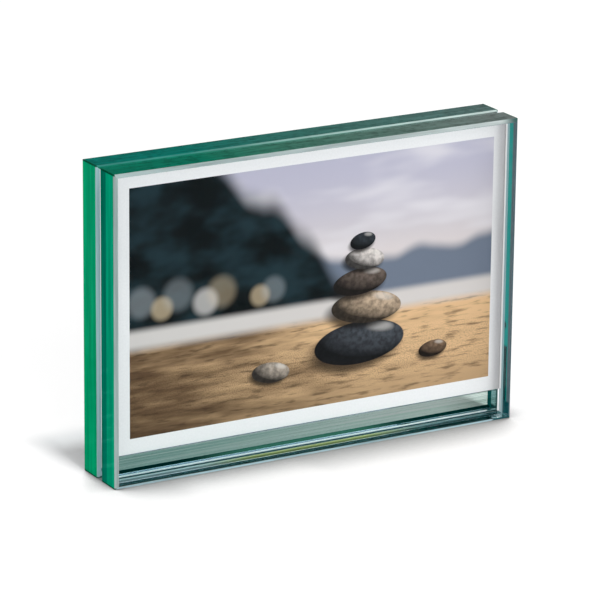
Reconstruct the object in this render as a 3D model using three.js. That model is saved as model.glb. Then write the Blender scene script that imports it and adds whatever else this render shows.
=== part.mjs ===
// Free-standing glass block picture frame.
// Two thick polished panes are bonded to a clear strip at the bottom of the slot between them,
// and a white-bordered print stands on that strip and slides up out of the slot.
// Millimetres. +X runs to the right along the frame, +Y to its back and +Z up.
// The origin is on the table, under the middle of the frame.
import * as THREE from 'three';

// Driving dimensions
const PRINT_WIDTH = 160;
const PRINT_HEIGHT = 103;
const PRINT_THICKNESS = 0.3;
const PRINT_CLEARANCE = 0.6; // free space in the slot on each side of the print
const PRINT_SIDE_MARGIN = 2.5; // how far a pane reaches past the end of a centred print
const PRINT_TOP_MARGIN = 2.4; // how far a pane reaches above the print
const PRINT_SIDE_SHIFT = 1.9; // the print is loose and stands this far right of the middle
const PANE_THICKNESS = 12;
const BEVEL_LEG = 1.1; // each polished 45 degree bevel takes this much off both of its faces
const SPACER_HEIGHT = 7.6;
const SPACER_INSET = 0.9; // how far the strip stays inside the flat of the panes
const BOND_THICKNESS = 0.15;

// What follows from them
const slotWidth = PRINT_THICKNESS + 2 * PRINT_CLEARANCE;
const spacerThickness = slotWidth - 2 * BOND_THICKNESS;
const spacerBase = BEVEL_LEG + SPACER_INSET;
const spacerTop = spacerBase + SPACER_HEIGHT;
const paneWidth = PRINT_WIDTH + 2 * PRINT_SIDE_MARGIN;
const paneHeight = spacerTop + PRINT_HEIGHT + PRINT_TOP_MARGIN;
const spacerLength = paneWidth - 2 * (BEVEL_LEG + SPACER_INSET);
const paneOffset = (slotWidth + PANE_THICKNESS) / 2;
const bondOffset = (spacerThickness + BOND_THICKNESS) / 2;

// Finishes
function greenFloatGlass() {
  return new THREE.MeshStandardMaterial({
    color: 0x4fa58c,
    roughness: 0.03,
    metalness: 0,
    transparent: true,
    opacity: 0.35,
  });
}

function clearAcrylic() {
  return new THREE.MeshStandardMaterial({
    color: 0xdfece8,
    roughness: 0.08,
    metalness: 0,
    transparent: true,
    opacity: 0.3,
  });
}

function clearAdhesive() {
  return new THREE.MeshStandardMaterial({
    color: 0xe8eeea,
    roughness: 0.15,
    metalness: 0,
    transparent: true,
    opacity: 0.25,
  });
}

function coatedPhotoPaper() {
  return new THREE.MeshStandardMaterial({ color: 0xf3f2ee, roughness: 0.45, metalness: 0 });
}

// A named piece, centred at the given place
function piece(name, geometry, material, x, y, z) {
  const mesh = new THREE.Mesh(geometry, material);
  mesh.name = name;
  mesh.position.set(x, y, z);
  return mesh;
}

// A pane with the same bevel along every edge of its front and back, mitred at the corners.
// The outline is the flat of a face, and the bevels grow out from it to the pane's full size.
function paneGeometry() {
  const halfFlatWidth = paneWidth / 2 - BEVEL_LEG;
  const halfFlatHeight = paneHeight / 2 - BEVEL_LEG;
  const flat = new THREE.Shape();
  flat.moveTo(-halfFlatWidth, -halfFlatHeight);
  flat.lineTo(halfFlatWidth, -halfFlatHeight);
  flat.lineTo(halfFlatWidth, halfFlatHeight);
  flat.lineTo(-halfFlatWidth, halfFlatHeight);
  flat.closePath();
  const geometry = new THREE.ExtrudeGeometry(flat, {
    depth: PANE_THICKNESS - 2 * BEVEL_LEG,
    bevelEnabled: true,
    bevelThickness: BEVEL_LEG,
    bevelSize: BEVEL_LEG,
    bevelSegments: 1,
  });
  return geometry.center();
}

// The extruded pane lies flat, so it is stood up on its long edge
function pane(name, y) {
  const mesh = piece(name, paneGeometry(), greenFloatGlass(), 0, y, paneHeight / 2);
  mesh.rotation.x = Math.PI / 2;
  return mesh;
}

function bondFilm(name, y) {
  const geometry = new THREE.BoxGeometry(spacerLength, BOND_THICKNESS, SPACER_HEIGHT);
  return piece(name, geometry, clearAdhesive(), 0, y, spacerBase + SPACER_HEIGHT / 2);
}

function spacerStrip() {
  const geometry = new THREE.BoxGeometry(spacerLength, spacerThickness, SPACER_HEIGHT);
  return piece('spacer_strip', geometry, clearAcrylic(), 0, 0, spacerBase + SPACER_HEIGHT / 2);
}

function photoPrint() {
  const geometry = new THREE.BoxGeometry(PRINT_WIDTH, PRINT_THICKNESS, PRINT_HEIGHT);
  const z = spacerTop + PRINT_HEIGHT / 2;
  return piece('photo_print', geometry, coatedPhotoPaper(), PRINT_SIDE_SHIFT, 0, z);
}

const glassBlock = new THREE.Group();
glassBlock.add(pane('front_pane', -paneOffset));
glassBlock.add(pane('back_pane', paneOffset));
glassBlock.add(spacerStrip());
glassBlock.add(bondFilm('front_bond', -bondOffset));
glassBlock.add(bondFilm('back_bond', bondOffset));

const pictureFrame = new THREE.Group();
pictureFrame.add(glassBlock);
pictureFrame.add(photoPrint());

export default pictureFrame;
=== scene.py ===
# Looks of the glass block picture frame: panes, clear strip, print, floor, light and camera.
# Metres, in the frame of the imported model: +X to the right, +Y to the back, +Z up.
import math

import bmesh
import bpy
from mathutils import Matrix, Vector


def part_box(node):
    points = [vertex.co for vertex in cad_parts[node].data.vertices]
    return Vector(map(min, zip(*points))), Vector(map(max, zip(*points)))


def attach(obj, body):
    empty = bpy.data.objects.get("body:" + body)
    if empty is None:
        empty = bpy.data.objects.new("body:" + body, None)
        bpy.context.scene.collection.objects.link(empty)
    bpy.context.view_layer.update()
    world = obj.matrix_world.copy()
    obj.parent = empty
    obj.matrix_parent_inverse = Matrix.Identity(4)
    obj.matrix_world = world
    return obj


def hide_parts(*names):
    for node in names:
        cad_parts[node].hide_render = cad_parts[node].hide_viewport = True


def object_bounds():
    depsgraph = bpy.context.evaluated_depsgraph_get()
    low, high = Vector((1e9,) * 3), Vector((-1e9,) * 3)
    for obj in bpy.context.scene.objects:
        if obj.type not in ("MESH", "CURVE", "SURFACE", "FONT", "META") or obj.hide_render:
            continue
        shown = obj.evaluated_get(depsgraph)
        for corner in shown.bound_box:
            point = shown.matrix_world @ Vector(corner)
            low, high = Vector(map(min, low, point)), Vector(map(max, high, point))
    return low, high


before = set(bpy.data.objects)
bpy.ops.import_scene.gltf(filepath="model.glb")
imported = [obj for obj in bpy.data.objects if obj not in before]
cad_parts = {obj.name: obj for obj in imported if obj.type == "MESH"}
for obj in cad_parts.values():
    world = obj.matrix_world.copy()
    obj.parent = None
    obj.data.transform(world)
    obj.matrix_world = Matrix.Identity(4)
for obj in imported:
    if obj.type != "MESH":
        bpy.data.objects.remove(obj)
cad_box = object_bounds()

MM = 0.001
HALF_WIDTH = cad_box[1][0]
HEIGHT = cad_box[1][2]
STRIP_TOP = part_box("spacer_strip")[1].z
BEVEL_LEG = 1.1 * MM

# Colours
SCREEN_WHITE = 255
SCREEN_GAMMA = 2.2
WHITE = (1.0, 1.0, 1.0, 1.0)
BLACK = (0.0, 0.0, 0.0, 1.0)


def srgb(red, green, blue):
    """A colour as it is seen on screen, 0 to 255, as a shader colour."""
    return (*((channel / SCREEN_WHITE) ** SCREEN_GAMMA for channel in (red, green, blue)), 1.0)


# Node helpers. Most values of a noise lie between its low and high ones here.
NOISE_LOW = 0.3
NOISE_MEAN = 0.5
NOISE_HIGH = 0.7
OPEN_SAMPLES = 16


def feed(tree, socket, value):
    """Links a socket to another one, or sets its value."""
    if isinstance(value, bpy.types.NodeSocket):
        tree.links.new(value, socket)
    else:
        socket.default_value = value


class Nodes:
    """Short calls for building one node tree."""

    def __init__(self, tree):
        self.tree = tree
        tree.nodes.clear()

    def add(self, kind, inputs, **settings):
        node = self.tree.nodes.new(kind)
        for name, value in settings.items():
            setattr(node, name, value)
        for key, value in inputs.items():
            feed(self.tree, node.inputs[key], value)
        return node

    def math(self, operation, *values):
        return self.add("ShaderNodeMath", dict(enumerate(values)), operation=operation).outputs[0]

    def vector(self, operation, *values):
        node = self.add("ShaderNodeVectorMath", dict(enumerate(values)), operation=operation)
        return node.outputs["Value" if operation == "DOT_PRODUCT" else "Vector"]

    def split(self, vector):
        return self.add("ShaderNodeSeparateXYZ", {0: vector}).outputs

    def join(self, x, y, z):
        return self.add("ShaderNodeCombineXYZ", {0: x, 1: y, 2: z}).outputs[0]

    def place(self):
        """Where a point is at rest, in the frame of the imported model."""
        return self.add("ShaderNodeTexCoord", {}).outputs["Object"]

    def blend(self, share, first, second):
        """A colour between two others."""
        return self.add("ShaderNodeMix", {0: share, 6: first, 7: second}, data_type="RGBA").outputs[2]

    def ramp(self, value, low, high, to_low=0.0, to_high=1.0, shape="SMOOTHSTEP"):
        """to_low at low and to_high at high, sloping between them and level beyond them."""
        inputs = {0: value, 1: low, 2: high, 3: to_low, 4: to_high}
        return self.add("ShaderNodeMapRange", inputs, interpolation_type=shape).outputs[0]

    def noise(self, vector, scale, detail):
        inputs = {"Vector": vector, "Scale": scale, "Detail": detail}
        return self.add("ShaderNodeTexNoise", inputs).outputs["Fac"]

    def stretched_noise(self, vector, stretch, detail, scale=1.0):
        return self.noise(self.vector("MULTIPLY", vector, stretch), scale, detail)

    def open_share(self, inputs):
        """How much of the space around a point is free."""
        return self.add("ShaderNodeAmbientOcclusion", inputs, samples=OPEN_SAMPLES).outputs["AO"]

    def light_path(self):
        return self.add("ShaderNodeLightPath", {}).outputs

    def scattered(self, path):
        """1 for light that has met a dull surface, and 0 before that."""
        return self.math("GREATER_THAN", path["Diffuse Depth"], 0.0)

    def seen_directly(self):
        """1 for what the camera sees, also in a mirror or through glass, and 0 for light on a surface."""
        path = self.light_path()
        seen = self.math("MAXIMUM", path["Is Camera Ray"], path["Is Glossy Ray"])
        seen = self.math("MAXIMUM", seen, path["Is Transmission Ray"])
        return self.math("MULTIPLY", seen, self.math("SUBTRACT", 1.0, self.scattered(path)))

    def shader(self, kind, **inputs):
        return self.add("ShaderNodeBsdf" + kind, inputs).outputs[0]

    def mix(self, share, first, second):
        """A mix of two shaders."""
        return self.add("ShaderNodeMixShader", {0: share, 1: first, 2: second}).outputs[0]

    def finish(self, surface):
        self.add("ShaderNodeOutputMaterial", {"Surface": surface})


def new_material(name):
    material = bpy.data.materials.new(name)
    material.use_nodes = True
    return material, Nodes(material.node_tree)


# Clear glass. The passing colours say how much light gets through on its way to the print or the floor.
GLASS_IOR = 1.515
GLARE_FLOOR = 0.2
FACE_TINT = (0.992, 0.997, 1.0, 1.0)
FACE_PASSING = (0.95, 0.955, 0.96, 1.0)
FACE_LOW_PASSING = (0.85, 0.885, 0.885, 1.0)
FACE_FULL_SHARE = 1.2
FACE_END_PASSING = (0.41, 0.405, 0.42, 1.0)
LEFT_DIM = 4.0 * MM
RIGHT_DIM = 6.5 * MM
RIGHT_DIM_SHARE = 0.55
RIGHT_DIM_SHARE_HIGH = 0.70
RIGHT_DIM_HIGH_FROM = 0.6 * HEIGHT
RIGHT_DIM_HIGH_TO = 0.9 * HEIGHT


def clear_shader(nodes, tint, ior, mirrored=WHITE):
    """Refraction, and a mirror only where the Fresnel share is strong, so that faint glare is left out."""
    fresnel = nodes.add("ShaderNodeFresnel", {"IOR": ior}).outputs[0]
    share = nodes.ramp(fresnel, GLARE_FLOOR, 1.0, shape="LINEAR")
    bend = nodes.shader("Refraction", Color=tint, Roughness=0.0, IOR=ior)
    mirror = nodes.shader("Glossy", Color=mirrored, Roughness=0.0)
    return nodes.mix(share, bend, mirror)


def finish_glass(nodes, surface, passing):
    """Light on its way to the print or the floor goes straight through, dimmed by the colour passing."""
    path = nodes.light_path()
    on_its_way = nodes.math("MAXIMUM", path["Is Shadow Ray"], nodes.scattered(path))
    straight = nodes.shader("Transparent", Color=passing)
    nodes.finish(nodes.mix(on_its_way, surface, straight))


def pane_face():
    """Clear, but less light comes through low down at the left, and close to the ends with their bevels.

    At the right end, the least comes through high up.
    """
    material, nodes = new_material("pane_face")
    across, _, upward = nodes.split(nodes.place())
    rightward = nodes.ramp(across, -HALF_WIDTH, HALF_WIDTH, shape="LINEAR")
    raised = nodes.ramp(upward, 0.0, HEIGHT, shape="LINEAR")
    share = nodes.ramp(nodes.math("ADD", rightward, raised), 0.0, FACE_FULL_SHARE, shape="LINEAR")
    middle = nodes.blend(share, FACE_LOW_PASSING, FACE_PASSING)
    left_end = nodes.math("LESS_THAN", across, LEFT_DIM - HALF_WIDTH)
    right_share = nodes.ramp(
        upward,
        RIGHT_DIM_HIGH_FROM,
        RIGHT_DIM_HIGH_TO,
        RIGHT_DIM_SHARE,
        RIGHT_DIM_SHARE_HIGH,
    )
    right_end = nodes.ramp(across, HALF_WIDTH - RIGHT_DIM, HALF_WIDTH - BEVEL_LEG, 0.0, right_share)
    passing = nodes.blend(nodes.math("MAXIMUM", left_end, right_end), middle, FACE_END_PASSING)
    finish_glass(nodes, clear_shader(nodes, FACE_TINT, GLASS_IOR), passing)
    return material


# Colours that change from place to place
FADE_FROM = -0.55 * HALF_WIDTH
TIP_LENGTH = 8.0 * MM
MIDDLE_TO = 0.25 * HALF_WIDTH
ENDS_FROM = 0.6 * HALF_WIDTH
SLOT_DEEP_FROM = 0.35 * BEVEL_LEG
SLOT_DEEP_TO = 0.55 * BEVEL_LEG
SHADE_BLUR = 0.5 * MM
BLOTCHES = 0.32
BLOTCH_FROM = 0.45
BLOTCH_FULL = 0.7
BLOTCH_GRAIN = (350.0, 500.0, 500.0)


def even(colour):
    """One colour all over."""
    def colour_at(nodes, place):
        return colour
    return colour_at


def along_frame(left, right, start=FADE_FROM, tip=None, tip_length=TIP_LENGTH):
    """A colour that changes from start towards the right end of the frame, and to tip close to that end."""
    def colour_at(nodes, place):
        across = nodes.split(place)["X"]
        colour = nodes.blend(nodes.ramp(across, start, HALF_WIDTH, shape="LINEAR"), left, right)
        if tip is None:
            return colour
        return nodes.blend(nodes.ramp(across, HALF_WIDTH - tip_length, HALF_WIDTH - BEVEL_LEG), colour, tip)
    return colour_at


def to_tip(colour, tip, length):
    """A colour that gives way at once to another one, this far from the right end of the frame."""
    def colour_at(nodes, place):
        across = nodes.split(place)["X"]
        start = HALF_WIDTH - length
        return nodes.blend(nodes.ramp(across, start - SHADE_BLUR, start + SHADE_BLUR), colour, tip)
    return colour_at


def away_from_middle(middle, ends):
    """A colour that gives way to another one towards both ends of the frame."""
    def colour_at(nodes, place):
        across = nodes.math("ABSOLUTE", nodes.split(place)["X"])
        share = nodes.ramp(across, MIDDLE_TO, ENDS_FROM)
        return nodes.blend(share, middle(nodes, place), ends(nodes, place))
    return colour_at


def down_slot(colour, deep):
    """A colour that gives way to another one on the lower part of a bevel at the top of the slot."""
    def colour_at(nodes, place):
        upward = nodes.split(place)["Z"]
        share = nodes.ramp(upward, HEIGHT - SLOT_DEEP_FROM, HEIGHT - SLOT_DEEP_TO)
        return nodes.blend(share, colour(nodes, place), deep(nodes, place))
    return colour_at


def mottled(colour):
    """A colour broken up by darker blotches."""
    def colour_at(nodes, place):
        blotch = nodes.stretched_noise(place, BLOTCH_GRAIN, detail=2.0)
        share = nodes.ramp(blotch, BLOTCH_FROM, BLOTCH_FULL, 0.0, BLOTCHES)
        return nodes.blend(share, colour(nodes, place), BLACK)
    return colour_at


# Edges of the panes. Beyond their own green and random streaks, their colours are painted reflections and
# shade
VEILED = 0.93
ARRIS_VEILED = 0.8
FOOT_VEILED = 0.3
BASE_VEILED = 0.05
EDGE_TINT = (0.10, 0.45, 0.40, 1.0)
EDGE_PASSING = (0.66, 0.69, 0.70, 1.0)
NEARLY_SHUT = (0.05, 0.05, 0.05, 1.0)
# Painted shade: a dark green line along the corners where an end meets the top or the base
CORNER_SHADE_GREEN = srgb(0, 78, 54)
STREAKS = 0.3
LEVEL_GRAIN = (45.0, 600.0, 600.0)
UPRIGHT_GRAIN = (600.0, 600.0, 25.0)
CORNER_LINE = 0.35 * MM
BASE_TIP = 6.0 * MM
TOE_TIP = 7.9 * MM
TEAL = srgb(30, 130, 126)
PALE = srgb(180, 204, 210)


def near_corner(nodes, place):
    """1 along the edges where an end meets the top or the base, and 0 away from them."""
    across, _, upward = nodes.split(place)
    from_end = nodes.math("SUBTRACT", HALF_WIDTH, nodes.math("ABSOLUTE", across))
    from_level = nodes.math("MINIMUM", upward, nodes.math("SUBTRACT", HEIGHT, upward))
    return nodes.ramp(nodes.math("MAXIMUM", from_end, from_level), CORNER_LINE, 2 * CORNER_LINE, 1.0, 0.0)


def edge_glass(
    name,
    scattered,
    passed,
    haze=VEILED,
    tint=even(EDGE_TINT),
    mirrored=even(WHITE),
    grain=LEVEL_GRAIN,
    passing=even(EDGE_PASSING),
):
    """The edge of a pane: scattered light veils what is seen through it, in colours with painted light.

    scattered gives the colour seen from outside, passed that of the light let in, seen from inside,
    tint that of what is seen through the edge, mirrored that of what is seen in it as in a mirror, and
    passing what is left of light on its way elsewhere.
    """
    material, nodes = new_material(name)
    place = nodes.place()
    streak = nodes.stretched_noise(place, grain, detail=3.0)
    streak_share = nodes.ramp(streak, NOISE_LOW, NOISE_HIGH, 0.0, STREAKS)
    colour = nodes.blend(streak_share, scattered(nodes, place), BLACK)
    # Painted shade: the corners where an end meets the top or the base get a dark green line
    colour = nodes.blend(near_corner(nodes, place), colour, CORNER_SHADE_GREEN)
    near = nodes.shader("Diffuse", Color=colour)
    far = nodes.shader("Translucent", Color=passed(nodes, place))
    inside = nodes.add("ShaderNodeNewGeometry", {}).outputs["Backfacing"]
    veil = nodes.mix(inside, near, far)
    clear = clear_shader(nodes, tint(nodes, place), GLASS_IOR, mirrored(nodes, place))
    finish_glass(nodes, nodes.mix(haze, clear, veil), passing(nodes, place))
    return material


# Ends of the panes and bevels beside the slot. Depths of an end are from the middle of the slot.
END_SHADED_FROM = -5.6 * MM
END_GREEN_FRONT = srgb(9, 187, 140)
END_GREEN_BACK = srgb(0, 190, 127)
END_GREEN_SHADED = srgb(2, 136, 110)
END_GREY_FROM = 6.2 * MM
END_GREY = srgb(72, 88, 94)
END_TEAL = srgb(8, 130, 124)
END_LINE_FROM = 2.2 * MM
END_LINE_TO = 5.2 * MM
END_LINE_HEIGHT = 31.0 * MM
END_LINE_FADE = 1.1
END_LINE_WANDER = 60.0
END_SHADOW_REFLECTION = srgb(2, 56, 56)
END_BEHIND = srgb(150, 186, 192)
END_FOOT_HEIGHT = 5.5 * MM
BACK_END_FOOT_HEIGHT = 1.6 * MM
END_FOOT_SHADE = srgb(16, 66, 70)
SLOT_OUTER_FROM = 0.8 * BEVEL_LEG
SLOT_OUTER_TO = 0.4 * BEVEL_LEG
SLOT_BESIDE_STRIP = 0.7
SLOT_DIM = srgb(140, 166, 172)


def end_green(nodes, place):
    """Green, with painted shade in the part of the front pane next to the slot."""
    depth = nodes.split(place)["Y"]
    inner = nodes.ramp(depth, END_SHADED_FROM - SHADE_BLUR, END_SHADED_FROM)
    ahead = nodes.math("LESS_THAN", depth, 0.0)
    green = nodes.blend(ahead, END_GREEN_BACK, END_GREEN_FRONT)
    return nodes.blend(nodes.math("MULTIPLY", inner, ahead), green, END_GREEN_SHADED)


def through_end(nodes, place):
    """An end as it shows through its pane: grey by the outer face, then teal with a dark line low down.

    All are painted reflections; the line is the floor's shadow, and its top wanders with a noise. The end of
    the back pane is pale, and both ends have painted shade at the foot.
    """
    _, depth, upward = nodes.split(place)
    behind = nodes.math("GREATER_THAN", depth, 0.0)
    depth = nodes.math("ABSOLUTE", depth)
    inner = nodes.ramp(depth, END_GREY_FROM + SHADE_BLUR, END_GREY_FROM - SHADE_BLUR)
    colour = nodes.blend(inner, END_GREY, END_TEAL)
    # Painted reflection of the floor's shadow: a dark line low down in the teal
    line = nodes.math(
        "MULTIPLY",
        nodes.ramp(depth, END_LINE_TO + SHADE_BLUR, END_LINE_TO),
        nodes.ramp(depth, END_LINE_FROM - SHADE_BLUR, END_LINE_FROM),
    )
    wander = nodes.noise(place, END_LINE_WANDER, detail=3.0)
    line_top = END_LINE_HEIGHT / NOISE_MEAN
    low = nodes.ramp(nodes.math("DIVIDE", upward, wander), END_LINE_FADE * line_top, line_top)
    colour = nodes.blend(nodes.math("MULTIPLY", line, low), colour, END_SHADOW_REFLECTION)
    colour = nodes.blend(behind, colour, END_BEHIND)
    # Painted shade at the foot of both ends
    foot_height = nodes.ramp(behind, 0.0, 1.0, END_FOOT_HEIGHT, BACK_END_FOOT_HEIGHT)
    over_foot = nodes.math("SUBTRACT", upward, foot_height)
    return nodes.blend(nodes.ramp(over_foot, SHADE_BLUR, -SHADE_BLUR), colour, END_FOOT_SHADE)


def slot_light(nodes, place):
    """The light through the bevels beside the slot: less at their outer edge and beside the strip."""
    across, _, upward = nodes.split(place)
    across = nodes.math("ABSOLUTE", across)
    outer = nodes.ramp(across, HALF_WIDTH - SLOT_OUTER_FROM, HALF_WIDTH - SLOT_OUTER_TO)
    beside = nodes.ramp(upward, STRIP_TOP + SHADE_BLUR, STRIP_TOP, 0.0, SLOT_BESIDE_STRIP)
    return nodes.blend(nodes.math("MAXIMUM", outer, beside), WHITE, SLOT_DIM)


# Finishes of the panes, by the names that pane_side gives
def end_and_top_looks():
    """The ends and tops of the panes, and the bevels beside them, with painted shade along the frame."""
    pale = even(PALE)
    sky = even(srgb(190, 204, 220))
    rim_green = even(srgb(12, 84, 86))
    slot_side = even(srgb(168, 203, 208))
    # Painted shade: the side bevels are light at the left end and dark at the right
    side_bevel = along_frame(srgb(172, 189, 187), srgb(86, 110, 118))
    # Painted shade: the top bevel lightens towards the right and darkens at its right tip
    top_bevel = along_frame(srgb(158, 173, 173), srgb(194, 203, 202), tip=srgb(70, 102, 99))
    # Painted shade: the tops and the slot top go from dark at the left to light at the right
    front_top = mottled(along_frame(srgb(14, 112, 89), srgb(114, 122, 120)))
    back_top = mottled(along_frame(srgb(14, 112, 100), srgb(90, 110, 107)))
    slot_top = down_slot(along_frame(srgb(54, 126, 115), srgb(206, 222, 218)), front_top)
    open_end = along_frame((0.95, 0.96, 0.98, 1.0), NEARLY_SHUT)
    open_bevel = along_frame((0.55, 0.58, 0.58, 1.0), NEARLY_SHUT)
    open_top = along_frame(EDGE_PASSING, (0.94, 0.96, 0.97, 1.0))
    return {
        "end": dict(scattered=end_green, passed=through_end, grain=UPRIGHT_GRAIN, passing=open_end),
        "front_top": dict(scattered=front_top, passed=sky, passing=open_top),
        "back_top": dict(scattered=back_top, passed=sky),
        "top_bevel": dict(scattered=top_bevel, passed=pale),
        "side_bevel": dict(scattered=side_bevel, passed=rim_green, grain=UPRIGHT_GRAIN, passing=open_bevel),
        "slot_bevel": dict(scattered=slot_side, passed=slot_light, grain=UPRIGHT_GRAIN, passing=open_bevel),
        "slot_top": dict(scattered=slot_top, passed=pale),
    }


def base_looks():
    """The bases of the panes, and the bevels beside them: toes look to the front and feet to the back."""
    pale = even(PALE)
    teal = even(TEAL)
    deep = even(srgb(26, 68, 70))
    dim = even((0.1, 0.2, 0.2, 1.0))
    # Painted reflections: what the back base reflects turns bluish, and what the front base reflects near
    # black but at its right tip
    bluish = even((0.43, 0.43, 0.52, 1.0))
    dark = to_tip((0.03, 0.07, 0.07, 1.0), (0.80, 0.90, 0.90, 1.0), BASE_TIP)
    # Painted light: the front toe is a light line that darkens at its right tip
    toe = to_tip(srgb(172, 200, 211), srgb(40, 90, 96), TOE_TIP)
    # Painted light: the front foot is yellow-green in the middle, pale at the left end and dark at the right
    foot_blue = along_frame((0.45, 0.68, 0.68, 1.0), (0.10, 0.22, 0.23, 1.0))
    foot_tint = away_from_middle(even((0.45, 0.56, 0.24, 1.0)), foot_blue)
    foot_pale = along_frame(PALE, srgb(40, 76, 80))
    foot_veil = away_from_middle(even(srgb(176, 190, 120)), foot_pale)
    # Painted shade: what shows through the back foot is black towards the ends and dark green in the middle
    foot_line = away_from_middle(even((0.05, 0.17, 0.13, 1.0)), even((0.0, 0.02, 0.02, 1.0)))
    looks = {
        "front_toe": dict(scattered=toe, passed=pale),
        "back_toe": dict(scattered=deep, passed=deep),
        "front_base": dict(scattered=pale, passed=teal, haze=BASE_VEILED, tint=dim, mirrored=dark),
        "back_base": dict(scattered=pale, passed=teal, haze=BASE_VEILED, tint=dim, mirrored=bluish),
        "front_foot": dict(scattered=foot_veil, passed=foot_veil, haze=FOOT_VEILED, tint=foot_tint),
        "back_foot": dict(scattered=teal, passed=teal, haze=BASE_VEILED, tint=foot_line),
    }
    return {side: dict(look, passing=even(WHITE)) for side, look in looks.items()}


def arris_look():
    """The eased edges where an end meets the top or the base, dark green with painted shade."""
    colour = along_frame(srgb(0, 80, 56), srgb(20, 60, 52))
    return dict(scattered=colour, passed=even(TEAL), haze=ARRIS_VEILED)


def pane_finishes():
    """A material for each kind of side that a pane has."""
    looks = {**end_and_top_looks(), **base_looks(), "arris": arris_look()}
    finishes = {"face": pane_face()}
    for side, look in looks.items():
        finishes[side] = edge_glass("pane_" + side, **look)
    return finishes


# Clear strip and its adhesive films
STRIP_IOR = 1.49
STRIP_GRAIN = (10.0, 1700.0, 1700.0)
STRIP_LINES = 0.6
STRIP_LINE_FROM = 0.4
STRIP_LINE_FULL = 0.65
# The strip's own tint is faintly green; its darker left and darker right tip are painted shade of the
# floor's shadow seen through it
STRIP_LEFT = (0.54, 0.74, 0.71, 1.0)
STRIP_RIGHT = (0.92, 0.99, 0.96, 1.0)
STRIP_SHADED_TIP = (0.54, 0.62, 0.585, 1.0)
STRIP_TIP_LENGTH = 30.0 * MM
BOND_LEFT = (0.97, 0.99, 0.98, 1.0)
BOND_RIGHT = (0.98, 1.0, 0.99, 1.0)
SAW_GRAIN = (900.0, 900.0, 4000.0)
SAW_DARK = srgb(8, 70, 64)
SAW_LIGHT = srgb(30, 104, 96)
SAW_GLOW = 0.5


def streaked_clear(name, left, right, tip=None):
    """Clear plastic or adhesive with faint lines along it, lighter towards the right but not at a tip."""
    material, nodes = new_material(name)
    place = nodes.place()
    line = nodes.stretched_noise(place, STRIP_GRAIN, detail=3.0)
    # Painted shade: the tint darkens towards the left and at a tip
    tint = along_frame(left, right, -HALF_WIDTH, tip, STRIP_TIP_LENGTH)(nodes, place)
    tint = nodes.blend(nodes.ramp(line, STRIP_LINE_FROM, STRIP_LINE_FULL, 0.0, STRIP_LINES), tint, WHITE)
    finish_glass(nodes, clear_shader(nodes, tint, STRIP_IOR), tint)
    return material


def sawn_end():
    """A sawn end of the strip or a film, dull and dark with fine saw marks."""
    material, nodes = new_material("sawn_end")
    mark = nodes.stretched_noise(nodes.place(), SAW_GRAIN, detail=2.0)
    colour = nodes.blend(nodes.ramp(mark, NOISE_LOW, NOISE_HIGH), SAW_DARK, SAW_LIGHT)
    dull = nodes.shader("Diffuse", Color=colour)
    glow = nodes.shader("Translucent", Color=colour)
    finish_glass(nodes, nodes.mix(SAW_GLOW, dull, glow), EDGE_PASSING)
    return material


# Picture on the print, drawn in picture heights: x to the right and y up from its lower left corner
SKY_FROM = 0.45
SKY_LOW = srgb(226, 216, 212)
SKY_HIGH = srgb(190, 188, 206)
CLOUD_STRETCH = (1.2, 4.0, 1.0)
CLOUD_SCALE = 1.6
CLOUD_FROM = 0.46
CLOUD_FULL = 0.70
CLOUD_SHARE = 0.7
CLOUD = srgb(236, 232, 236)
HILL_SCALE = 2.2
FAR_HILL_BASE = 0.46
FAR_HILL_ROLL = 0.26
FAR_HILL_BLUR = 0.03
FAR_HILL = srgb(112, 122, 138)
NEAR_HILL_REACH = 0.72
NEAR_HILL_ROLL = 0.55
NEAR_HILL_BASE = 0.42
NEAR_HILL_BLUR = 0.07
WOODS_STRETCH = (1.0, 1.6, 1.0)
WOODS_SCALE = 5.0
WOODS_FROM = 0.35
WOODS_FULL = 0.7
WOODS_DARK = srgb(3, 16, 18)
WOODS_LIGHT = srgb(34, 52, 58)


def sky_and_hills(nodes, point, x, y):
    """Thin clouds, a far range of hills, and a dark wooded slope that falls to the right."""
    drift = nodes.stretched_noise(point, CLOUD_STRETCH, detail=2.0, scale=CLOUD_SCALE)
    sky = nodes.blend(nodes.ramp(y, SKY_FROM, 1.0), SKY_LOW, SKY_HIGH)
    sky = nodes.blend(nodes.ramp(drift, CLOUD_FROM, CLOUD_FULL, 0.0, CLOUD_SHARE), sky, CLOUD)
    roll = nodes.noise(nodes.join(x, 0.0, 0.0), HILL_SCALE, detail=2.0)
    far_top = nodes.math("ADD", FAR_HILL_BASE, nodes.math("MULTIPLY", roll, FAR_HILL_ROLL))
    far = nodes.ramp(nodes.math("SUBTRACT", far_top, y), -FAR_HILL_BLUR, FAR_HILL_BLUR)
    picture = nodes.blend(far, sky, FAR_HILL)
    reach = nodes.math("ADD", NEAR_HILL_REACH, nodes.math("MULTIPLY", roll, NEAR_HILL_ROLL))
    near_top = nodes.math("SUBTRACT", reach, x)
    over_base = nodes.math("SUBTRACT", y, NEAR_HILL_BASE)
    near = nodes.ramp(nodes.math("SUBTRACT", near_top, over_base), -NEAR_HILL_BLUR, NEAR_HILL_BLUR)
    woods = nodes.stretched_noise(point, WOODS_STRETCH, detail=2.0, scale=WOODS_SCALE)
    slope = nodes.blend(nodes.ramp(woods, WOODS_FROM, WOODS_FULL), WOODS_DARK, WOODS_LIGHT)
    return nodes.blend(near, picture, slope)


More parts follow.
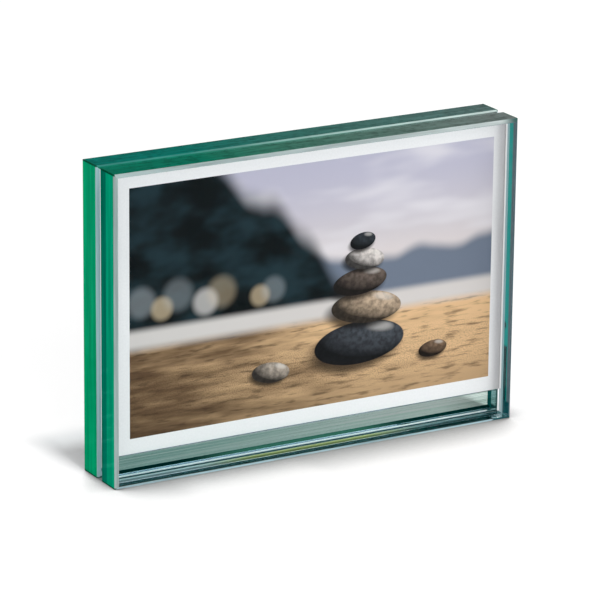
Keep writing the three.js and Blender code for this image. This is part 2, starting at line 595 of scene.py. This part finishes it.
# Lamps across the water
LAMP_WARM = srgb(238, 214, 176)
LAMP_COOL = srgb(206, 216, 222)
LAMP_PLAIN = srgb(232, 226, 222)
LAMP_EDGE = 1.25
LAMP_FULL = 0.55
BLURRED_LIGHTS = (
    # centre x, centre y, radius, strength, colour
    (0.05, 0.540, 0.066, 0.22, LAMP_COOL),
    (0.14, 0.505, 0.050, 0.42, LAMP_WARM),
    (0.21, 0.550, 0.070, 0.16, LAMP_COOL),
    (0.33, 0.505, 0.058, 0.50, LAMP_PLAIN),
    (0.40, 0.535, 0.068, 0.20, LAMP_WARM),
    (0.57, 0.495, 0.046, 0.38, LAMP_WARM),
    (0.63, 0.512, 0.056, 0.18, LAMP_COOL),
)


def blurred_light(nodes, picture, point, x, y, radius, strength, colour):
    """A lamp far out of focus: a soft disc."""
    offset = nodes.vector("SUBTRACT", point, (x, y, 0.0))
    away = nodes.math("DIVIDE", nodes.math("SQRT", nodes.vector("DOT_PRODUCT", offset, offset)), radius)
    glow = nodes.ramp(away, LAMP_EDGE, LAMP_FULL, 0.0, strength)
    return nodes.blend(glow, picture, colour)


# Shore
SHORE = 0.40
WATER_TOP = SHORE + 0.05
WATER_FULL = SHORE + 0.01
WATER = srgb(214, 208, 204)
SAND_TOP = SHORE - 0.02
SAND_FULL = SHORE - 0.07
SAND_SHADED = srgb(96, 74, 54)
SAND_SUNNY = srgb(228, 188, 142)
SUNNY_FROM = 0.35
SUNNY_FULL = 1.05
SUNNY_ACROSS = 0.42
SUNNY_RIPPLE = 0.9
RIPPLE_STRETCH = (1.0, 7.0, 1.0)
RIPPLE_SCALE = 3.2
FURROW_STRETCH = (2.0, 13.0, 1.0)
FURROW_SCALE = 5.0
FURROW_FROM = 0.50
FURROW_FULL = 0.72
FURROW_SHARE = 0.6
FURROW = srgb(54, 40, 30)
SPECK_SCALE = 210.0
SPECK_FROM = 0.42
SPECK_FULL = 0.7
SPECK_SHARE = 0.5
SPECK = srgb(64, 48, 36)
FAR_BLURRED = 0.30
FAR_SHARP = 0.20
NEAR_BLURRED = 0.02
NEAR_SHARP = 0.12
FOREGROUND_TO = 0.16
FOREGROUND_SHARE = 0.35
FOREGROUND = srgb(56, 43, 32)


def sand(nodes, picture, point, x, y):
    """A bright line of water, then shaded and sunny sand, sharp only at the depth of the stones."""
    picture = nodes.blend(nodes.ramp(y, WATER_TOP, WATER_FULL), picture, WATER)
    ripple = nodes.stretched_noise(point, RIPPLE_STRETCH, detail=4.0, scale=RIPPLE_SCALE)
    rippled = nodes.math("MULTIPLY", ripple, SUNNY_RIPPLE)
    sunny = nodes.math("ADD", nodes.math("MULTIPLY", x, SUNNY_ACROSS), rippled)
    ground = nodes.blend(nodes.ramp(sunny, SUNNY_FROM, SUNNY_FULL), SAND_SHADED, SAND_SUNNY)
    furrow = nodes.stretched_noise(point, FURROW_STRETCH, detail=3.0, scale=FURROW_SCALE)
    ground = nodes.blend(nodes.ramp(furrow, FURROW_FROM, FURROW_FULL, 0.0, FURROW_SHARE), ground, FURROW)
    before_far = nodes.ramp(y, FAR_BLURRED, FAR_SHARP)
    focus = nodes.math("MULTIPLY", before_far, nodes.ramp(y, NEAR_BLURRED, NEAR_SHARP))
    speck = nodes.noise(point, SPECK_SCALE, detail=2.0)
    speck_share = nodes.ramp(speck, SPECK_FROM, SPECK_FULL, 0.0, SPECK_SHARE)
    ground = nodes.blend(nodes.math("MULTIPLY", speck_share, focus), ground, SPECK)
    ground = nodes.blend(nodes.ramp(y, FOREGROUND_TO, 0.0, 0.0, FOREGROUND_SHARE), ground, FOREGROUND)
    return nodes.blend(nodes.ramp(y, SAND_TOP, SAND_FULL), picture, ground)


# Stones. A stone's own coordinates run to 1 at its edge. Limits of edge and shadow are squares of them.
STONE_LAMP = Vector((0.50, 0.62, 0.60))
STONE_FILL = 0.06
STONE_DARK = srgb(8, 9, 11)
STONE_EDGE_NONE = 1.02
STONE_EDGE_FULL = 0.96
SPECKLE_SCALE = 46.0
SPECKLE_DARK = 0.55
SPECKLE_LIGHT = 1.2
GLINT_FROM = 0.90
GLINT_SHARE = 0.35
GLINT = srgb(250, 244, 236)
SHADOW_OFFSET = (0.14, 0.35, 0.0)
SHADOW_NONE = 1.4
SHADOW_FULL = 0.5
SHADOW_SHARE = 0.85
SHADOW = srgb(20, 17, 16)
STONES = (
    # centre x, centre y, half width, half height, tilt in degrees, colour
    (1.02, 0.235, 0.205, 0.088, 2, srgb(74, 78, 84)),
    (1.05, 0.378, 0.160, 0.066, -4, srgb(196, 172, 146)),
    (1.02, 0.487, 0.122, 0.054, 5, srgb(104, 92, 84)),
    (1.04, 0.578, 0.090, 0.044, -6, srgb(222, 214, 208)),
    (1.03, 0.652, 0.058, 0.034, 8, srgb(58, 64, 70)),
    (0.62, 0.172, 0.085, 0.042, -5, srgb(182, 168, 154)),
    (1.36, 0.160, 0.066, 0.034, 6, srgb(128, 104, 84)),
)


def stone(nodes, picture, point, x, y, half_width, half_height, tilt, colour):
    """Paints one rounded pebble, with its soft shadow below it, over the picture so far."""
    turn = (0.0, 0.0, math.radians(tilt))
    inputs = {0: point, 1: (x, y, 0.0), 2: turn, 3: (half_width, half_height, 1.0)}
    local = nodes.add("ShaderNodeMapping", inputs, vector_type="TEXTURE").outputs[0]
    below = nodes.vector("ADD", local, SHADOW_OFFSET)
    from_shadow = nodes.vector("DOT_PRODUCT", below, below)
    shaded = nodes.ramp(from_shadow, SHADOW_NONE, SHADOW_FULL, 0.0, SHADOW_SHARE)
    picture = nodes.blend(shaded, picture, SHADOW)
    spread = nodes.vector("DOT_PRODUCT", local, local)
    bulge = nodes.math("SQRT", nodes.math("MAXIMUM", nodes.math("SUBTRACT", 1.0, spread), 0.0))
    facing = nodes.vector("ADD", local, nodes.join(0.0, 0.0, bulge))
    light = nodes.math("MAXIMUM", nodes.vector("DOT_PRODUCT", facing, STONE_LAMP), 0.0)
    speckle = nodes.noise(point, SPECKLE_SCALE, detail=6.0)
    speckle = nodes.ramp(speckle, NOISE_LOW, NOISE_HIGH, SPECKLE_DARK, SPECKLE_LIGHT)
    tone = nodes.math("MULTIPLY", nodes.math("ADD", light, STONE_FILL), speckle)
    body = nodes.blend(nodes.ramp(tone, 0.0, 1.0, shape="LINEAR"), STONE_DARK, colour)
    body = nodes.blend(nodes.ramp(light, GLINT_FROM, 1.0, 0.0, GLINT_SHARE), body, GLINT)
    return nodes.blend(nodes.ramp(spread, STONE_EDGE_NONE, STONE_EDGE_FULL), picture, body)


def picture_colour(nodes, x, y):
    """The whole picture, from back to front."""
    point = nodes.join(x, y, 0.0)
    picture = sky_and_hills(nodes, point, x, y)
    for row in BLURRED_LIGHTS:
        picture = blurred_light(nodes, picture, point, *row)
    picture = sand(nodes, picture, point, x, y)
    for row in STONES:
        picture = stone(nodes, picture, point, *row)
    return picture


# Paper of the print
BORDER_SIDE = 5.2 * MM
BORDER_TOP = 5.4 * MM
BORDER_BOTTOM = 5.6 * MM
FRONT_FIBRE_SCALE = 120.0
FRONT_LOW = srgb(243, 243, 243)
FRONT_HIGH = srgb(247, 247, 247)
FRONT_ROUGHNESS = 0.35
FRONT_SPECULAR = 0.1
BACK_FIBRE_GRAIN = (900.0, 900.0, 2600.0)
BACK_LOW = srgb(236, 235, 231)
BACK_HIGH = srgb(244, 243, 240)
BACK_ROUGHNESS = 0.7


def print_face(low, high):
    """Coated paper with a white border round a picture."""
    material, nodes = new_material("print_face")
    place = nodes.split(nodes.place())
    left, bottom = low.x + BORDER_SIDE, low.z + BORDER_BOTTOM
    width, height = high.x - BORDER_SIDE - left, high.z - BORDER_TOP - bottom
    x = nodes.math("DIVIDE", nodes.math("SUBTRACT", place["X"], left), height)
    y = nodes.math("DIVIDE", nodes.math("SUBTRACT", place["Z"], bottom), height)
    from_sides = nodes.math("MINIMUM", x, nodes.math("SUBTRACT", width / height, x))
    from_ends = nodes.math("MINIMUM", y, nodes.math("SUBTRACT", 1.0, y))
    printed = nodes.math("GREATER_THAN", nodes.math("MINIMUM", from_sides, from_ends), 0.0)
    fibre = nodes.noise(nodes.join(x, y, 0.0), FRONT_FIBRE_SCALE, detail=4.0)
    paper = nodes.blend(nodes.ramp(fibre, NOISE_LOW, NOISE_HIGH), FRONT_LOW, FRONT_HIGH)
    colour = nodes.blend(printed, paper, picture_colour(nodes, x, y))
    satin = {"Base Color": colour, "Roughness": FRONT_ROUGHNESS, "Specular IOR Level": FRONT_SPECULAR}
    nodes.finish(nodes.shader("Principled", **satin))
    return material


def print_back():
    """Uncoated white paper with faint fibres."""
    material, nodes = new_material("print_back")
    fibre = nodes.stretched_noise(nodes.place(), BACK_FIBRE_GRAIN, detail=4.0)
    colour = nodes.blend(nodes.ramp(fibre, NOISE_LOW, NOISE_HIGH), BACK_LOW, BACK_HIGH)
    dull = {"Base Color": colour, "Roughness": BACK_ROUGHNESS}
    nodes.finish(nodes.shader("Principled", **dull))
    return material


# Meshes. The last three values are parts of a face's normal, which tell the sides of a piece apart.
ARRIS = 0.12 * MM
STRIP_EASE = 0.03 * MM
EASE_STEPS = 2
EASE_PROFILE = 0.5
OPTICAL_GAP = 0.02 * MM
PRINT_BOW = 0.3 * MM
PRINT_COLUMNS = 32
PRINT_ROWS = 12
SQUARE_ON = 0.99
SLANTED = 0.5
LEANING = 0.3


def ease_edges(build, offset):
    """Rounds every edge a little."""
    bmesh.ops.bevel(
        build,
        geom=build.edges,
        offset=offset,
        segments=EASE_STEPS,
        profile=EASE_PROFILE,
        affect="EDGES",
    )


def to_mesh(name, build):
    mesh = bpy.data.meshes.new(name)
    build.to_mesh(mesh)
    build.free()
    return mesh


def pane_side(normal, centre, middle):
    """The name of a side of a pane, by which way it looks and where it is.

    middle is the depth of the pane's own middle.
    """
    along, across, upward = abs(normal.x), abs(normal.y), normal.z
    pane = "front" if middle < 0 else "back"
    if across > SQUARE_ON:
        return "face"
    if along > SQUARE_ON:
        return "end"
    if abs(upward) > SQUARE_ON:
        return pane + ("_top" if upward > 0 else "_base")
    if across < LEANING and along > LEANING and abs(upward) > LEANING:
        return "arris"
    if upward < -SLANTED:
        return pane + ("_foot" if normal.y > 0 else "_toe")
    if abs(centre.y) > abs(middle):
        return "top_bevel" if upward > SLANTED else "side_bevel"
    return "slot_top" if upward > SLANTED else "slot_bevel"


def pane_mesh(name, low, high, sides):
    """A block with its front and back edges bevelled, and every arris eased a little."""
    build = bmesh.new()
    outline = ((0, 0), (1, 0), (1, 1), (0, 1))
    steps = ((low.y, BEVEL_LEG), (low.y + BEVEL_LEG, 0), (high.y - BEVEL_LEG, 0), (high.y, BEVEL_LEG))
    rings = []
    for y, inset in steps:
        across = (low.x + inset, high.x - inset)
        upward = (low.z + inset, high.z - inset)
        rings.append([build.verts.new((across[i], y, upward[j])) for i, j in outline])
    build.faces.new(rings[0])
    build.faces.new(rings[-1])
    for near, far in zip(rings, rings[1:]):
        for i in range(len(outline)):
            build.faces.new((near[i - 1], near[i], far[i], far[i - 1]))
    bmesh.ops.recalc_face_normals(build, faces=build.faces)
    ease_edges(build, ARRIS)
    build.normal_update()
    middle = (low.y + high.y) / 2
    for face in build.faces:
        face.material_index = sides.index(pane_side(face.normal, face.calc_center_median(), middle))
    return to_mesh(name, build)


def strip_mesh(name, low, high):
    """A bar with eased edges, kept a hair clear of what it is bonded to.

    Its ends have the second material.
    """
    gap = Vector((0, OPTICAL_GAP, 0))
    build = bmesh.new()
    bmesh.ops.create_cube(build, size=1.0)
    bmesh.ops.scale(build, vec=high - low - 2 * gap, verts=build.verts)
    bmesh.ops.translate(build, vec=(low + high) / 2, verts=build.verts)
    ease_edges(build, STRIP_EASE)
    bmesh.ops.recalc_face_normals(build, faces=build.faces)
    for face in build.faces:
        face.material_index = int(abs(face.normal.x) > SQUARE_ON)
    return to_mesh(name, build)


def rim(grid):
    """The outer vertices of a grid, in order."""
    left, right = grid[0], grid[-1]
    lower = [column[0] for column in grid]
    upper = [column[-1] for column in grid]
    return lower[:-1] + right[:-1] + upper[:0:-1] + left[:0:-1]


def print_mesh(name, low, high):
    """A sheet that bows back a little in the slot. Its front has the first material, the rest the second."""
    build = bmesh.new()
    sides = []
    for y in (low.y, high.y):
        grid = []
        for i in range(PRINT_COLUMNS + 1):
            share = i / PRINT_COLUMNS
            x = low.x + (high.x - low.x) * share
            bow = PRINT_BOW * (1 - (2 * share - 1) ** 2)
            heights = [low.z + (high.z - low.z) * j / PRINT_ROWS for j in range(PRINT_ROWS + 1)]
            grid.append([build.verts.new((x, y + bow, z)) for z in heights])
        sides.append(grid)
    for index, grid in enumerate(sides):
        for i in range(PRINT_COLUMNS):
            for j in range(PRINT_ROWS):
                face = build.faces.new((grid[i][j], grid[i + 1][j], grid[i + 1][j + 1], grid[i][j + 1]))
                face.material_index = index
    front, rear = (rim(grid) for grid in sides)
    for i in range(len(front)):
        face = build.faces.new((front[i - 1], front[i], rear[i], rear[i - 1]))
        face.material_index = 1
    bmesh.ops.recalc_face_normals(build, faces=build.faces)
    return to_mesh(name, build)


def add_piece(name, mesh, node, body, slot, *materials):
    piece = bpy.data.objects.new(name, mesh)
    bpy.context.collection.objects.link(piece)
    for material in materials:
        mesh.materials.append(material)
    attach(piece, body)
    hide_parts(node)


# Pieces of the frame
finishes = pane_finishes()
for node in ("front_pane", "back_pane"):
    mesh = pane_mesh(node + "_glass", *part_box(node), list(finishes))
    add_piece(node + "_glass", mesh, node, "glass_block", "pane_glass", *finishes.values())

strip_clear = streaked_clear("strip_clear", STRIP_LEFT, STRIP_RIGHT, STRIP_SHADED_TIP)
bond_clear = streaked_clear("bond_clear", BOND_LEFT, BOND_RIGHT)
sawn = sawn_end()
for node, slot, material in (
    ("spacer_strip", "clear_strip", strip_clear),
    ("front_bond", "clear_bond", bond_clear),
    ("back_bond", "clear_bond", bond_clear),
):
    mesh = strip_mesh(node + "_clear", *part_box(node))
    add_piece(node + "_clear", mesh, node, "glass_block", slot, material, sawn)

low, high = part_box("photo_print")
mesh = print_mesh("picture_print", low, high)
add_piece("picture_print", mesh, "photo_print", "print", "photo_paper", print_face(low, high), print_back())


# Floor. Its painted shade at the foot of the frame goes by how open a point is.
FLOOR_HALF = 3.0
FLOOR_GAP = 0.05 * MM
FLOOR_GLOW = 0.15
FLOOR_COLOUR = (0.85, 0.85, 0.85, 1.0)
FLOOR_GLOSS = 0.05
FLOOR_ROUGHNESS = 0.3
CONTACT_REACH = 40 * MM
CONTACT_DARKEST = 0.48
CONTACT_OPEN = 0.81
CONTACT_SHADE = 0.30
SHORT_OPEN = 0.71
SHORT_MIDDLE = -34 * MM
SHORT_FULL = 18 * MM
SHORT_NONE = 32 * MM
FRONT_LEAN = (0.0, 0.92, 0.39)
FRONT_REACH = 60 * MM
FRONT_FULL = 0.62
FRONT_NONE = 0.80


def contact_shade(nodes):
    """Painted shade: dark at the foot of what stands on the floor, mostly in front, and 1 elsewhere.

    The shade reaches less far in a stretch left of the middle.
    """
    openness = nodes.open_share({"Distance": CONTACT_REACH})
    across = nodes.split(nodes.place())["X"]
    from_stretch = nodes.math("ABSOLUTE", nodes.math("SUBTRACT", across, SHORT_MIDDLE))
    open_at = nodes.ramp(from_stretch, SHORT_FULL, SHORT_NONE, SHORT_OPEN, CONTACT_OPEN)
    shade = nodes.ramp(openness, CONTACT_DARKEST, open_at, CONTACT_SHADE, 1.0, shape="LINEAR")
    # The normal counts only when it is linked, so it comes from a node
    view_back = nodes.open_share({"Distance": FRONT_REACH, "Normal": nodes.join(*FRONT_LEAN)})
    return nodes.math("MAXIMUM", shade, nodes.ramp(view_back, FRONT_FULL, FRONT_NONE))


def floor_white():
    """White with a trace of gloss. The camera sees a painted contact shade on it."""
    material, nodes = new_material("floor_white")
    in_view = nodes.light_path()["Is Camera Ray"]
    shade = nodes.ramp(in_view, 0.0, 1.0, 1.0, contact_shade(nodes), shape="LINEAR")
    diffuse = nodes.shader("Diffuse", Color=nodes.blend(shade, BLACK, FLOOR_COLOUR))
    lift = nodes.math("MULTIPLY", nodes.math("MULTIPLY", nodes.seen_directly(), FLOOR_GLOW), shade)
    glow = nodes.add("ShaderNodeEmission", {"Color": WHITE, "Strength": lift}).outputs[0]
    both = nodes.add("ShaderNodeAddShader", {0: diffuse, 1: glow}).outputs[0]
    gloss = nodes.shader("Glossy", Color=WHITE, Roughness=FLOOR_ROUGHNESS)
    nodes.finish(nodes.mix(FLOOR_GLOSS, both, gloss))
    return material


def add_floor():
    mesh = bpy.data.meshes.new("floor")
    outline = ((-1, -1), (1, -1), (1, 1), (-1, 1))
    corners = [(x * FLOOR_HALF, y * FLOOR_HALF, -FLOOR_GAP) for x, y in outline]
    mesh.from_pydata(corners, [], [range(len(corners))])
    mesh.materials.append(floor_white())
    floor = bpy.data.objects.new("floor", mesh)
    bpy.context.collection.objects.link(floor)


# Light. Azimuth is measured to the right from the front, in degrees like elevation and spread.
WORLD_FILL = 0.28
KEY_SUN = {"azimuth": 3.5, "elevation": 71.5, "spread": 6.5, "strength": 2.3}
FRONT_SUN = {"azimuth": -6.0, "elevation": 20.0, "spread": 40.0, "strength": 1.0}
LONGEST_PATH = 48


def add_world(scene):
    """A white background that gives less light than it shows."""
    scene.world = bpy.data.worlds.new("studio")
    scene.world.use_nodes = True
    nodes = Nodes(scene.world.node_tree)
    strength = nodes.ramp(nodes.seen_directly(), 0.0, 1.0, WORLD_FILL, 1.0, shape="LINEAR")
    background = nodes.add("ShaderNodeBackground", {"Color": WHITE, "Strength": strength})
    nodes.add("ShaderNodeOutputWorld", {"Surface": background.outputs[0]})


def from_front(azimuth, elevation):
    """The direction from the frame to something that is this far right of its front and above it."""
    level = math.cos(elevation)
    return Vector((math.sin(azimuth) * level, -math.cos(azimuth) * level, math.sin(elevation)))


def add_sun(name, azimuth, elevation, spread, strength):
    data = bpy.data.lights.new(name, "SUN")
    data.angle = math.radians(spread)
    data.energy = strength
    lamp = bpy.data.objects.new(name, data)
    lamp.rotation_mode = "QUATERNION"
    aim = -from_front(math.radians(azimuth), math.radians(elevation))
    lamp.rotation_quaternion = aim.to_track_quat("-Z", "Y")
    bpy.context.collection.objects.link(lamp)


# Camera, fitted to the corners of the panes in the photograph
CAMERA_AIM = Vector((-1.34, -0.17, 54.91)) * MM
CAMERA_DISTANCE = 1423.8 * MM
CAMERA_AZIMUTH = math.radians(-30.0)
CAMERA_ELEVATION = math.radians(17.42)
CAMERA_ROLL = math.radians(0.61)
CAMERA_LENS = 237.4
CAMERA_SENSOR = 36.0
CAMERA_REACH = 20.0


def add_camera(scene):
    camera = bpy.data.objects.new("camera", bpy.data.cameras.new("camera"))
    camera.data.lens = CAMERA_LENS
    camera.data.sensor_width = CAMERA_SENSOR
    camera.data.clip_end = CAMERA_REACH
    back = from_front(CAMERA_AZIMUTH, CAMERA_ELEVATION)
    roll = Matrix.Rotation(CAMERA_ROLL, 3, "Z").to_quaternion()
    camera.location = CAMERA_AIM + back * CAMERA_DISTANCE
    camera.rotation_mode = "QUATERNION"
    camera.rotation_quaternion = (-back).to_track_quat("-Z", "Y") @ roll
    bpy.context.collection.objects.link(camera)
    scene.camera = camera


# Scene
scene = bpy.context.scene
add_floor()
add_world(scene)
add_sun("key", **KEY_SUN)
add_sun("front_fill", **FRONT_SUN)
add_camera(scene)
scene.view_settings.view_transform = "Standard"

# Light runs along a pane by many mirror steps before it leaves, so long paths are kept
scene.cycles.max_bounces = LONGEST_PATH
scene.cycles.glossy_bounces = LONGEST_PATH
scene.cycles.transmission_bounces = LONGEST_PATH
scene.cycles.transparent_max_bounces = LONGEST_PATH
